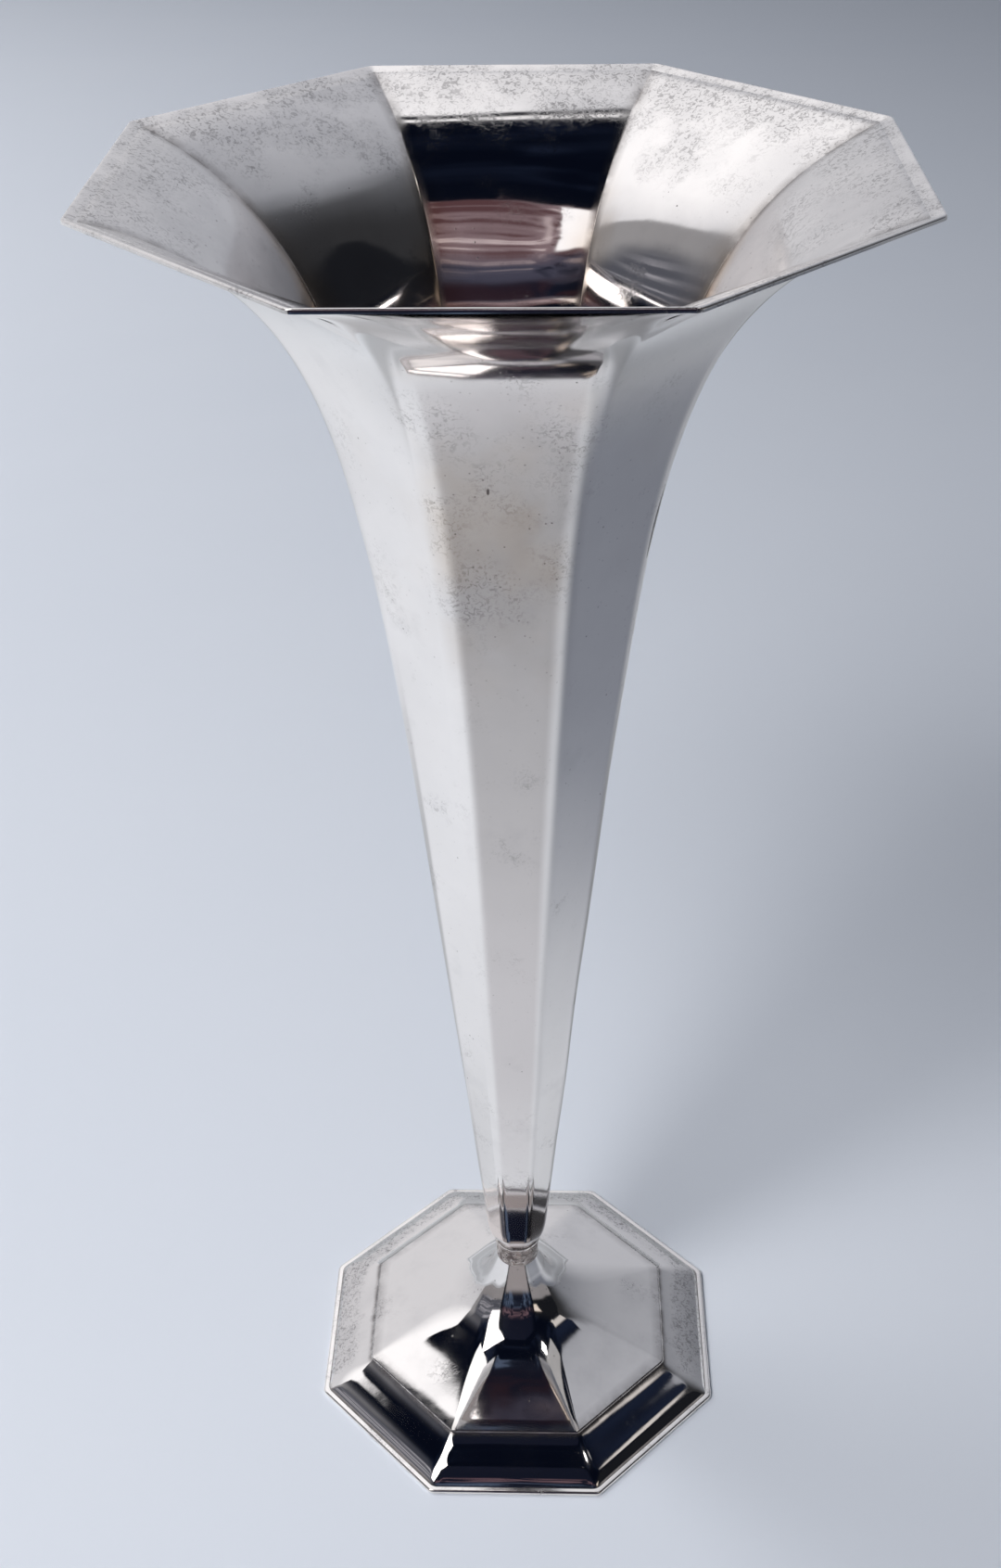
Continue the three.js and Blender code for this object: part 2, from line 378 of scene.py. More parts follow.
def ring_mesh(name, grid, material, node, masks, closed=True):
    """A piece made of a grid whose columns wrap round, and whose rows do too when closed."""
    rows, columns = grid.shape[:2]
    index = np.arange(rows * columns).reshape(rows, columns)
    upper = np.roll(index, -1, 0)
    if not closed:
        index, upper = index[:-1], upper[:-1]
    quads = np.stack([index, np.roll(index, -1, 1), np.roll(upper, -1, 1), upper], 2).reshape(-1, 4)
    faces = quads.tolist()
    if not closed:
        faces.append(list(range(columns))[::-1])
        faces.append(list(range((rows - 1) * columns, rows * columns)))
    mesh = bpy.data.meshes.new(name)
    mesh.from_pydata(grid.reshape(-1, 3).tolist(), [], faces)
    for mask, values in masks.items():
        layer = mesh.attributes.new(mask, "FLOAT", "POINT")
        layer.data.foreach_set("value", np.broadcast_to(values, grid.shape[:2]).astype(np.float32).ravel())
    mesh.polygons.foreach_set("use_smooth", [True] * len(mesh.polygons))
    mesh.set_sharp_from_angle(angle=SHARP_ANGLE)
    mesh.materials.append(material)
    mesh.update()
    piece = add_object(name, mesh)
    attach(piece, "root")
    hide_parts(node)


# Materials. A grain is a noise's scale, detail, roughness and, for some, distortion. A span is the two values
# between which something comes in, and its amount at both where these aren't 0 and 1. A band is where
# something starts and ends, and how softly.


class Graph:
    """A node tree, with short ways to add nodes."""

    MIX_FACTOR, MIX_FIRST, MIX_SECOND, MIX_RESULT = 0, 6, 7, 2

    def __init__(self, tree):
        self.tree = tree
        tree.nodes.clear()

    def add(self, kind, inputs=None, **settings):
        node = self.tree.nodes.new(kind)
        for key, value in settings.items():
            setattr(node, key, value)
        for key, value in (inputs or {}).items():
            self.set(node.inputs[key], value)
        return node

    def set(self, socket, value):
        if isinstance(value, bpy.types.NodeSocket):
            self.tree.links.new(value, socket)
        else:
            socket.default_value = value

    def place(self):
        return self.add("ShaderNodeTexCoord").outputs["Object"]

    def attribute(self, name):
        return self.add("ShaderNodeAttribute", attribute_name=name).outputs["Fac"]

    def axes(self, vector):
        split = self.add("ShaderNodeSeparateXYZ", {"Vector": vector}).outputs
        return split["X"], split["Y"], split["Z"]

    def scaled(self, place, scale):
        return self.add("ShaderNodeMapping", {"Vector": place, "Scale": scale}).outputs["Vector"]

    def vector(self, operation, *values):
        node = self.add("ShaderNodeVectorMath", dict(enumerate(values)), operation=operation)
        return node.outputs["Value" if operation == "DISTANCE" else "Vector"]

    def math(self, operation, *values):
        return self.add("ShaderNodeMath", dict(enumerate(values)), operation=operation).outputs[0]

    def product(self, *values):
        return reduce(lambda first, second: self.math("MULTIPLY", first, second), values)

    def most(self, *values):
        return reduce(lambda first, second: self.math("MAXIMUM", first, second), values)

    def blend(self, factor, first, second):
        return self.math("MULTIPLY_ADD", factor, self.math("SUBTRACT", second, first), first)

    def shifted(self, value, waves, reach):
        """A value moved by noise between 0 and 1, up to half of that reach either way."""
        return self.math("MULTIPLY_ADD", waves, reach, self.math("SUBTRACT", value, reach / 2))

    def smooth(self, value, low, high, start=0.0, end=1.0):
        inputs = {"Value": value, "From Min": low, "From Max": high, "To Min": start, "To Max": end}
        return self.add("ShaderNodeMapRange", inputs, interpolation_type="SMOOTHSTEP").outputs["Result"]

    def band(self, value, low, high, soft):
        rise = self.smooth(value, low - soft, low + soft)
        return self.product(rise, self.smooth(value, high + soft, high - soft))

    def noise(self, place, scale, detail, roughness, distortion=0.0):
        inputs = {"Vector": place, "Scale": scale, "Detail": detail, "Roughness": roughness}
        return self.add("ShaderNodeTexNoise", {**inputs, "Distortion": distortion}).outputs["Fac"]

    def patches(self, place, grain, span):
        return self.smooth(self.noise(place, *grain), *span)

    def cells(self, place, scale):
        node = self.add("ShaderNodeTexVoronoi", {"Vector": place, "Scale": scale}, feature="F1")
        return node.outputs["Distance"]

    def mix(self, factor, first, second):
        inputs = {self.MIX_FACTOR: factor, self.MIX_FIRST: first, self.MIX_SECOND: second}
        return self.add("ShaderNodeMix", inputs, data_type="RGBA").outputs[self.MIX_RESULT]

    def bump(self, height, distance, below=None):
        inputs = {"Height": height, "Distance": distance, "Strength": 1.0}
        if below is not None:
            inputs["Normal"] = below
        return self.add("ShaderNodeBump", inputs).outputs["Normal"]

    def metal(self, colour, roughness, normal):
        inputs = {"Base Color": colour, "Metallic": 1.0, "Roughness": roughness, "Normal": normal}
        return self.add("ShaderNodeBsdfPrincipled", inputs).outputs["BSDF"]

    def mix_shaders(self, factor, first, second):
        return self.add("ShaderNodeMixShader", dict(enumerate((factor, first, second)))).outputs["Shader"]

    def emission(self, colour):
        return self.add("ShaderNodeEmission", {"Color": colour, "Strength": 1.0}).outputs["Emission"]

    def surface(self, shader, output="ShaderNodeOutputMaterial"):
        self.add(output, {"Surface": shader})


def new_material(name):
    """A material, and the graph for its nodes."""
    material = bpy.data.materials.new(name)
    material.use_nodes = True
    return material, Graph(material.node_tree)


SILVER = (0.925, 0.885, 0.87, 1)
FILM = (0.60, 0.58, 0.585, 1)
FLECK = (0.30, 0.285, 0.285, 1)
TAN = (0.66, 0.50, 0.34, 1)
TARNISH = (0.10, 0.08, 0.075, 1)

# Marks in the silver: flecks in clusters, specks, veil, film, stains, tan patches, ripples, rubbing and pits.
CLUSTER_GRAIN, CLUSTER_SPAN, CLUSTER_BY_WEAR = (75, 4, 0.6), (0.58, 0.92), 0.32
FLECK_GRAIN, FLECK_SPAN, FLECK_STRENGTH = (900, 4, 0.62, 1.4), (0.50, 0.60), 0.7
SPECKED_GRAIN, SPECKED_SPAN = (120, 2, 0.55), (0.58, 0.70)
SPECK_SCALE, SPECK_SPAN, SPECK_STRENGTH = 520, (0.13, 0.06), 0.8
VEIL_GRAIN, VEIL_SPAN = (46, 4, 0.6), (0.30, 0.66, 0.45, 1.0)
FILM_GRAIN, FILM_SPAN, FILM_IN_CLUSTERS = (60, 4, 0.6), (0.45, 0.8, 0.0, 0.35), 0.5
STAIN_GRAIN, STAIN_SPAN = (260, 3, 0.6), (0.28, 0.6, 0.35, 1.0)
TAN_GRAIN, TAN_SPAN = (42, 3, 0.55), (0.40, 0.66, 0.15, 0.85)
TARNISH_STRENGTH = 0.85
MARRED_BY_FLECKS = 0.5
MARRED_ROUGHNESS = 0.25
FILM_ROUGHNESS = 0.12
RIPPLE_GRAIN = (85, 2, 0.5)
RUBBING_GRAIN, RUBBING_SCALE, RUBBING_DEPTH = (1, 2, 0.7), (900, 900, 60), 0.0008 * MM
PIT_DEPTH = 0.008 * MM

# The small nick in the front panel: its place, and how far it reaches along each axis.
NICK = (-2.75 * MM, -31.6 * MM, 257.7 * MM)
NICK_SHARPNESS = tuple(1 / (reach * MM) for reach in (0.35, 2, 0.9))
NICK_SPAN = (1.0, 0.5)

COLLAR_BRIGHT = (0.72, 0.67, 0.64, 1)
COLLAR_DARK = (0.12, 0.085, 0.085, 1)
COLLAR_PIT_SCALE, COLLAR_PIT_SPAN, COLLAR_PIT_DEPTH = 900, (0.36, 0.12), 0.08 * MM
COLLAR_BLOTCH_GRAIN, COLLAR_BLOTCH_SPAN, COLLAR_BLOTCH_STRENGTH = (520, 4, 0.65), (0.40, 0.62), 0.8
COLLAR_PROUD_SPAN = (0.0, 1.0, 1.0, 0.45)
COLLAR_ROUGHNESS, COLLAR_DARK_ROUGHNESS = 0.16, 0.3


def silver(name, roughness, ripple, nick=None):
    """Polished silver. Masks of the piece say where it is flecked with wear, dulled by a film, stained tan
    and dark in its creases. Patches of film and specks, rubbing marks and slow ripples lie all over it."""
    material, g = new_material(name)
    place = g.place()
    wear, haze, crease, tan = (g.attribute(mask) for mask in ("wear", "haze", "crease", "tan"))
    clouds = g.noise(place, *CLUSTER_GRAIN)
    cluster = g.smooth(g.math("MULTIPLY_ADD", wear, CLUSTER_BY_WEAR, clouds), *CLUSTER_SPAN)
    flecks = g.product(cluster, g.patches(place, FLECK_GRAIN, FLECK_SPAN))
    specked = g.most(haze, g.patches(place, SPECKED_GRAIN, SPECKED_SPAN))
    specks = g.product(g.smooth(g.cells(place, SPECK_SCALE), *SPECK_SPAN), specked, SPECK_STRENGTH)
    veil = g.product(haze, g.patches(place, VEIL_GRAIN, VEIL_SPAN))
    film = g.most(veil, g.product(cluster, FILM_IN_CLUSTERS), g.patches(place, FILM_GRAIN, FILM_SPAN))
    dark = g.most(g.product(crease, g.patches(place, STAIN_GRAIN, STAIN_SPAN)), specks)
    if nick is not None:
        off = g.scaled(g.vector("SUBTRACT", place, nick), NICK_SHARPNESS)
        dark = g.most(dark, g.smooth(g.vector("DISTANCE", off, (0, 0, 0)), *NICK_SPAN))
    colour = g.mix(g.product(flecks, FLECK_STRENGTH), g.mix(film, SILVER, FILM), FLECK)
    colour = g.mix(g.product(tan, g.patches(place, TAN_GRAIN, TAN_SPAN)), colour, TAN)
    colour = g.mix(g.product(dark, TARNISH_STRENGTH), colour, TARNISH)
    marred = g.most(dark, g.product(flecks, MARRED_BY_FLECKS))
    filmed = g.math("MULTIPLY_ADD", film, FILM_ROUGHNESS, roughness)
    rough = g.math("MULTIPLY_ADD", marred, MARRED_ROUGHNESS, filmed)
    waves = g.bump(g.noise(place, *RIPPLE_GRAIN), ripple)
    rubbed = g.bump(g.noise(g.scaled(place, RUBBING_SCALE), *RUBBING_GRAIN), RUBBING_DEPTH, waves)
    pitted = g.bump(g.math("SUBTRACT", 1.0, marred), PIT_DEPTH, rubbed)
    g.surface(g.metal(colour, rough, pitted))
    return material


def collar_silver():
    """Pitted, brownish silver of the collar, brighter where it stands proud."""
    material, g = new_material("collar_silver")
    place = g.place()
    pits = g.smooth(g.cells(place, COLLAR_PIT_SCALE), *COLLAR_PIT_SPAN)
    blotches = g.product(g.patches(place, COLLAR_BLOTCH_GRAIN, COLLAR_BLOTCH_SPAN), COLLAR_BLOTCH_STRENGTH)
    dark = g.product(g.most(pits, blotches), g.smooth(g.attribute("proud"), *COLLAR_PROUD_SPAN))
    colour = g.mix(dark, COLLAR_BRIGHT, COLLAR_DARK)
    rough = g.math("MULTIPLY_ADD", dark, COLLAR_DARK_ROUGHNESS, COLLAR_ROUGHNESS)
    normal = g.bump(g.math("SUBTRACT", 1.0, dark), COLLAR_PIT_DEPTH)
    g.surface(g.metal(colour, rough, normal))
    return material


# Pieces.


def make_body(material):
    """The sheet wall, up the outside and down the inside."""
    heights = spread_heights(SEAM, LIP_SEAT, BODY_ROW_AT_SEAM, BODY_ROW_AT_LIP)
    outside = [(body_outside(h), h) for h in heights]
    inside = [(body_inside(h), h) for h in reversed(heights)]
    arris = [body_arris(h) for h in heights] + [CREASE] * len(inside)
    even = octagon_grid(outside + inside, arris, *BODY_MESH)
    height = even[:, :, 2]
    depth = LIP_SEAT - height
    inner = np.zeros(even.shape[:2])
    inner[len(outside):] = 1
    outer = 1 - inner
    free = ramp(depth, 0, EVEN_BELOW_LIP) * ramp(height, SEAM, EVEN_ABOVE_SEAM)
    grid = uneven(even, BODY_WAVES, BODY_SEED, free * (1 + INSIDE_MORE_UNEVEN * inner))

    # A cloud of worn film and specks, mostly on the front panel, partly real film and partly painted shade.
    front = CLOUD_ELSEWHERE + (1 - CLOUD_ELSEWHERE) * ramp(frontness(even), *CLOUD_FRONT_RAMP)
    cloud = outer * bell(depth, CLOUD_DEPTH, CLOUD_SPREAD) * front
    lip = np.exp(-np.maximum(depth, 0) / LIP_WEAR_DEPTH)
    sides = ramp(sideness(grid), *HAZE_SIDE_RAMP)
    deep = ramp(depth, *TAN_DEPTH_RAMP)
    tan_lines = crease_mask(even, TAN_LINE + TAN_LINE_SPREAD * deep) * deep
    masks = {
        "wear": inner * (WEAR_INSIDE + WEAR_AT_LIP * lip) + outer * WEAR_OUTSIDE + WEAR_IN_CLOUD * cloud,
        "haze": inner * HAZE_INSIDE * sides + outer * HAZE_OUTSIDE + HAZE_IN_CLOUD * cloud,
        "crease": inner * CREASE_STRENGTH * crease_mask(even, CREASE_LINE),
        "tan": inner * tan_lines + TAN_IN_CLOUD * cloud,
    }
    ring_mesh("trumpet_body_sheet", grid, material, "trumpet_body", masks)


def make_rim(material):
    """The wire on the lip: upright outside, round at its edge, and inside in line with the body's sheet."""
    outer, inner = body_outside(LIP_SEAT), body_inside(LIP_SEAT)
    rise = 1 / body_slope(LIP_SEAT - LIP_SLOPE_DEPTH)
    edge_flat = outer - LIP_EDGE
    edge = (edge_flat, LIP_SEAT + (edge_flat - inner) * rise - LIP_EDGE * math.hypot(1, rise))
    turn = RIGHT_ANGLE + math.degrees(math.atan(rise))
    outline = [(outer, LIP_SEAT), (outer, (LIP_SEAT + edge[1]) / 2)]
    outline += ellipse(edge, (LIP_EDGE, LIP_EDGE), 0, turn, steps=8)
    outline += line(outline[-1], (inner, LIP_SEAT), steps=6)[1:]
    outline += [(inner, LIP_SEAT)]
    flats = np.array([flat for flat, _ in outline])
    arris = np.interp(flats, [inner, outer], [CREASE, ARRIS_AT_LIP])
    grid = octagon_grid(outline, arris, *RIM_MESH)
    grid[1:-1] = uneven(grid, RIM_WAVES, RIM_SEED)[1:-1]
    inside = 1 - ramp(flats, inner, outer - inner)[:, None]
    masks = {"wear": RIM_WEAR + RIM_WEAR_INSIDE * inside}
    ring_mesh("lip_wire", grid, material, "rim_wire", masks)


def make_cup(material):
    """The cup that closes the body: up its tenon, its rounded outside and its lap, and down to its floor."""
    shoulder = COLLAR_TOP + CUP_SHOULDER_RISE
    floor = COLLAR_TOP + CUP_FLOOR
    floor_shoulder = floor + CUP_SHOULDER_RISE

    def lap_outside(height):
        return body_inside(height) - SOLDER_GAP

    def lap_inside(height):
        return lap_outside(height) - GAUGE

    tenon_middle = (AXIS_FLAT, TENON_END)
    outline = [tenon_middle]
    outline += eased(tenon_middle, (TENON_FLAT, TENON_END), (TENON_FLAT, COLLAR_TOP), CORNER_EASE, steps=3)
    outline += [(TENON_FLAT, COLLAR_TOP)]
    outline += bend((CUP_BASE_FLAT, COLLAR_TOP), (body_outside(shoulder), shoulder),
                    (body_outside(SEAM), SEAM), steps=14)
    outline += [(lap_outside(SEAM), SEAM), (lap_outside(LAP_TOP), LAP_TOP), (lap_inside(LAP_TOP), LAP_TOP)]
    outline += bend((lap_inside(SEAM), SEAM), (lap_inside(floor_shoulder), floor_shoulder),
                    (CUP_BASE_FLAT - GAUGE, floor), steps=10)
    outline += [(AXIS_FLAT, floor)]
    grid = octagon_grid(outline, ARRIS_AT_SEAM, *CUP_MESH)
    ring_mesh("cup_shell", grid, material, "end_cup", {"wear": CUP_WEAR}, closed=False)


def make_collar(material):
    """The turned ring round the tenon, with a bead at its top and a rough outside."""
    bore = TENON_FLAT / math.cos(HALF_SIDE) + SOLDER_GAP
    bead_half = BEAD_HEIGHT / 2
    bead = (COLLAR_RADIUS, COLLAR_TOP - bead_half)
    bead_foot = (COLLAR_RADIUS, bead[1] - bead_half)
    low_edge = (COLLAR_RADIUS, NECK_TOP)
    outline = line((bore, NECK_TOP), low_edge, steps=4)
    outline += eased((bore, NECK_TOP), low_edge, bead_foot, COLLAR_EASE, steps=3)
    outline += line(outline[-1], bead_foot, steps=10)[1:]
    outline += ellipse(bead, (BEAD_PROJECTION, bead_half), -RIGHT_ANGLE, RIGHT_ANGLE, steps=10)
    outline += line((COLLAR_RADIUS, COLLAR_TOP), (bore, COLLAR_TOP), steps=4)[1:]
    outline += line((bore, COLLAR_TOP), (bore, NECK_TOP), steps=6)
    radii = np.array([radius for radius, _ in outline])[:, None]
    free = ramp(radii, bore, COLLAR_RADIUS - bore) ** EVEN_COLLAR_POWER
    grid = uneven(round_grid(outline, COLLAR_COLUMNS), COLLAR_WAVES, COLLAR_SEED, free)
    masks = {"proud": ramp(radii, COLLAR_RADIUS, BEAD_PROJECTION)}
    ring_mesh("collar_ring", grid, material, "neck_collar", masks)


def foot_outline():
    """The foot's section, and how many of its points lie outside: up the moulding, the step and the slope to
    the neck, then down the bore and back along the underside."""
    slope = sweep(SLOPE_EDGE, SLOPE_HANDLE, NECK_HANDLE, NECK, SLOPE_ROWS)
    outline = sweep(OVOLO_FOOT, OVOLO_LEAN, CROWN_HANDLE, CROWN, steps=24)
    outline += bend(CROWN, COVE_HANDLE, COVE_TOP, steps=14)[1:]
    outline += eased(COVE_TOP, SLOPE_EDGE, slope[SLOPE_ROW_AIMED_AT], CORNER_EASE, steps=4)
    outline += slope[SLOPE_ROWS_EASED:]
    visible = len(outline)
    bore = TENON_FLAT + SOLDER_GAP
    under = [under_sheet(point, 0, SLOPE_GAUGES) for point in slope[UNDERSIDE_ROWS]]
    outline += [(bore, NECK_TOP)]
    outline += bend((bore, NECK_TOP - TENON_DEPTH), (bore, under[0][1] + GAUGE), under[0], steps=8)
    outline += under[1:]
    outline += [under_sheet(COVE_TOP, 1, 1), under_sheet(COVE_HANDLE, 0.5, 1)]
    outline += sweep(under_sheet(CROWN, 0, 1), under_sheet(CROWN_HANDLE, 0, 1),
                     under_sheet(OVOLO_LEAN, 1, 0), under_sheet(OVOLO_FOOT, 1, 0), steps=10)
    return outline, visible


def make_foot(material):
    """The foot's sheet."""
    outline, visible = foot_outline()
    flats, heights = np.array(outline).T
    even = octagon_grid(outline, np.interp(flats, FOOT_ARRIS_AT, FOOT_ARRIS), *FOOT_MESH)
    free = ramp(even[:, :, 2], WIRE_TOP, EVEN_ABOVE_LEDGE)
    free[visible - EVEN_ROWS_AT_NECK:] = 0
    grid = uneven(even, FOOT_WAVES, FOOT_SEED, free)

    moulding = ramp(flats, *MOULDING_RAMP)[:, None]
    step = bell(flats, SLOPE_EDGE[0], STEP_WEAR_SPREAD)[:, None]
    rubbed = 1 - ramp(frontness(grid), *UNWORN_FRONT_RAMP)
    wear = np.maximum(FOOT_WEAR + MOULDING_WEAR * moulding, STEP_WEAR * step) * rubbed
    wear[visible:] = UNDERSIDE_WEAR
    neck = ramp(grid[:, :, 2], *NECK_RAMP)
    haze = np.maximum(MOULDING_HAZE * moulding * rubbed, NECK_HAZE * neck)
    # Darker lines along the step's corner and just above the wire.
    corner_line = CORNER_LINE_STRENGTH * bell(flats, CORNER_LINE_FLAT, CORNER_LINE)
    ledge_line = LEDGE_LINE_STRENGTH * (1 - ramp(heights, WIRE_TOP, LEDGE_LINE))
    dark_lines = np.maximum(corner_line, ledge_line)
    dark_lines[visible:] = 0
    masks = {"wear": wear, "haze": haze, "crease": dark_lines[:, None]}
    ring_mesh("foot_sheet", grid, material, "foot_shell", masks)


def make_foot_wire(material):
    """The flat wire under the foot, with a round edge."""
    inner = FOOT_EDGE - FOOT_WIRE_WIDTH
    radius = WIRE_TOP / 2
    edge = FOOT_EDGE - radius
    outline = line((inner, 0), (edge, 0), steps=4)
    outline += ellipse((edge, radius), (radius, radius), -RIGHT_ANGLE, RIGHT_ANGLE, steps=12)
    outline += line((edge, WIRE_TOP), (inner, WIRE_TOP), steps=4)[1:]
    outline += line((inner, WIRE_TOP), (inner, 0), steps=3)
    grid = octagon_grid(outline, EDGE_ARRIS, *FOOT_WIRE_MESH)
    ring_mesh("foot_ledge_wire", grid, material, "foot_wire", {"wear": FOOT_WIRE_WEAR})


# Stage: a pale table under soft light. The silver mirrors a room that is light behind the vase, brightest on
# the left, and dark in front of it, where a glowing card paints its reflections, and light panes that nothing
# else shows.

BACKGROUND = (0.50, 0.52, 0.575, 1)
AMBIENT = (0.044, 0.055, 0.078, 1)
BLACK = (0, 0, 0, 1)

TABLE = (0.795, 0.83, 0.90, 1)
TABLE_SHADED = (0.765, 0.805, 0.885, 1)
# Colours that only the silver shows: a lighter painted copy of the table, and painted shade in front of the
# vase and to its right.
TABLE_MIRRORED_LIT = (0.93, 0.965, 1.0, 1)
TABLE_FRONT_NEAR = (0.76, 0.77, 0.80, 1)
TABLE_FRONT = (0.60, 0.61, 0.63, 1)
TABLE_RIGHT = (0.40, 0.43, 0.49, 1)
TABLE_SIZE = 8.0
TABLE_ROUGHNESS = 0.75
TABLE_CLOUD_GRAIN, TABLE_CLOUD_SPAN = (6, 2, 0.55), (0.3, 0.7, 0.0, 0.25)

# Spans over which the table's painted shade and painted glow change, in metres from the vase's axis. A
# wedge's span is the distance to the side as a share of the way ahead.
TABLE_LEAST_AHEAD = 0.01
TABLE_FRONT_Y, TABLE_FRONT_WEDGE = (-0.02, -0.10), (1.0, 0.1)
TABLE_FRONT_SHADE_Y = (-0.10, -0.20)
TABLE_FRONT_BLACK_Y = (-0.16, -0.60, 0.0, 0.8)
TABLE_RIGHT_X, TABLE_RIGHT_WEDGE = (0.06, 0.26), (0.95, 0.25)
TABLE_BEHIND_Y, TABLE_BEHIND = (0.02, 0.10), (0.32, 0.20, 0.0, 0.34)
TABLE_CLOSE_Y, TABLE_CLOSE = (-0.01, 0.03), (0.11, 0.06, 0.0, 0.32)
TABLE_FAR = (0.28, 0.70, 0.0, 0.42)
TABLE_GLOW_X, TABLE_GLOW = (-0.4, 0.6, 0.46, 0.26), (0.6, 1.8)
TABLE_AWAY_X, TABLE_AWAY_Y, TABLE_AWAY = (0.60, 1.1), (-0.22, -0.7), (1.75, 2.8)

# A glowing card in front of the vase that only the silver shows. Its colours are painted reflections: dark
# over a pale strip, with a painted light pane, and other colours for the foot.
FRONT_DISTANCE = 0.33
FRONT_HALF_WIDTH = 0.30
FRONT_HEIGHT = 1.10
FRONT_STRIP = (0.52, 0.49, 0.50, 1)
FRONT_LOW = (0.007, 0.009, 0.019, 1)
FRONT_RED = (0.024, 0.014, 0.021, 1)
FRONT_MIDDLE = (0.060, 0.060, 0.090, 1)
FRONT_HIGH = (0.21, 0.15, 0.165, 1)
FRONT_DEEP = (0.09, 0.045, 0.05, 1)
FRONT_PALE = (0.55, 0.46, 0.47, 1)
FRONT_PANE = (1.1, 1.1, 1.12, 1)
FRONT_BLUE = (0.085, 0.12, 0.19, 1)
FRONT_EDGE = (0.33, 0.31, 0.315, 1)
FRONT_MAUVE = (0.16, 0.10, 0.12, 1)

# Folds move the card's painted colours up and across, and patches break them up.
FOLD_GRAIN, FOLD_RISE, FOLD_SHIFT = (9, 3, 0.55, 0.6), 0.16, 0.03
PATCH_GRAIN, PATCH_SCALE = (26, 3, 0.55, 0.9), (1, 1, 0.7)

# Heights on the card, and levels of its patches, over which its painted colours come in.
STRIP_Z = (0.06, 0.10)
RED_Z, RED_PATCHES = (0.16, 0.34), (0.46, 0.58)
MIDDLE_Z, MIDDLE_PATCHES_Z = (0.43, 0.48), (0.44, 0.50)
MIDDLE_PALE_PATCHES = (0.46, 0.38, 0.0, 0.35)
MIDDLE_DARK_PATCHES = (0.52, 0.62, 0.0, 0.8)
UPPER_Z, UPPER_DEEP_PATCHES, UPPER_PALE_PATCHES = (0.50, 0.57), (0.50, 0.60), (0.44, 0.36)
STREAK_X, STREAK_Z, STREAK_STRENGTH = (-0.030, -0.021, 0.004), (0.60, 0.76, 0.02), 0.8
PANE_X, PANE_Z, PANE_LEAN, PANE_SHIFT = (-0.011, 0.034, 0.002), (0.555, 0.86, 0.01), -0.04, 0.024
BLUE_PATCHES, EDGE_Z, BLUE_END_Z = (0.42, 0.58), (0.05, 0.085), (0.15, 0.26)
MAUVE_Z, MAUVE_PATCHES = (0.24, 0.36, 0.04), (0.46, 0.56)
STEEP_SPAN, STEEP_BY_Z, FACING_BLEND = (-0.10, -0.02), -0.75, 0.5
BACKDROP_TOP, BACKDROP_SIDES = (0.88, 0.86), (-0.22, 0.22, 0.06)

ROOM_DARK = (0.0018, 0.003, 0.008, 1)
ROOM_DUSK = (0.010, 0.015, 0.032, 1)
ROOM_HORIZON = (0.30, 0.29, 0.295, 1)
ROOM_LEFT_HIGH = (1.10, 1.11, 1.13, 1)
ROOM_LEFT_LOW = (0.70, 0.71, 0.74, 1)
ROOM_RIGHT_NEAR = (0.50, 0.52, 0.565, 1)
ROOM_RIGHT_FAR = (0.235, 0.25, 0.28, 1)
ROOM_RIGHT_DIM = (0.03, 0.031, 0.034, 1)
LEFT_WALL = (0.30, 0.30, 0.31, 1)
SIDE_LEFT = (0.085, 0.09, 0.11, 1)
SIDE_RIGHT = (0.010, 0.011, 0.014, 1)
LEFT_PANE = (0.42, 0.42, 0.46, 1)
RIGHT_PANE = (0.90, 0.80, 0.70, 1)
RIGHT_STREAK = (0.92, 0.88, 0.84, 1)

# Spans and bands of the room, along the axes of a direction of length one, which slow noise bends a little.
BEND_SCALE, BEND_DETAIL, BEND = 5.0, 2.0, (0.07, 0.07, 0.07)
NOISE_MIDDLE = (0.5, 0.5, 0.5)
LEFT_X, RIGHT_X = (-0.22, -0.50), (0.22, 0.50)
LIGHT_FROM_OVERHEAD = 0.255
LIGHT_FROM_LEFT = (0.78, 0.84, 0.10, 0.185)
LIGHT_FROM_RIGHT = (0.70, 0.78, -0.05, 0.10)
LIGHT_EDGE = (-0.008, 0.008)
LIGHT_ACROSS_X, LEFT_LIGHT_Z, RIGHT_LIGHT_X = (-0.22, 0.26), (0.52, 0.78), (0.2, 0.8)
RIGHT_DIM_Y, RIGHT_DIM_Z = (0.55, 0.0), (0.80, 0.72)
DUSK_GRAIN, DUSK_SPAN = (3.2, 3, 0.6), (0.46, 0.70)
LOW_Z, LEFT_WALL_Y, IN_FRONT_Y, HORIZON_Z = (0.78, 0.62), (-0.06, 0.02), (-0.02, -0.12), (0.30, 0.22)
LEFT_PANE_X = (-0.97, -0.45, 0.04)
LEFT_PANE_GRAIN, LEFT_PANE_SCALE, LEFT_PANE_SPAN = (1.6, 3, 0.6, 0.5), (2, 2, 14), (0.52, 0.62)
RIGHT_PANE_X, RIGHT_PANE_Z = (0.48, 0.72, 0.02), (0.42, 0.60, 0.02)
RIGHT_STREAK_Y, RIGHT_STREAK_Z, RIGHT_STREAK_STRENGTH = (-0.09, 0.02, 0.02), (0.715, 0.752, 0.006), 0.7
BRIGHT_LINE, BRIGHT_LINE_X, BRIGHT_LINE_STRENGTH = (-0.062, -0.034, 0.004), (-0.30, 0.30, 0.1), 0.9

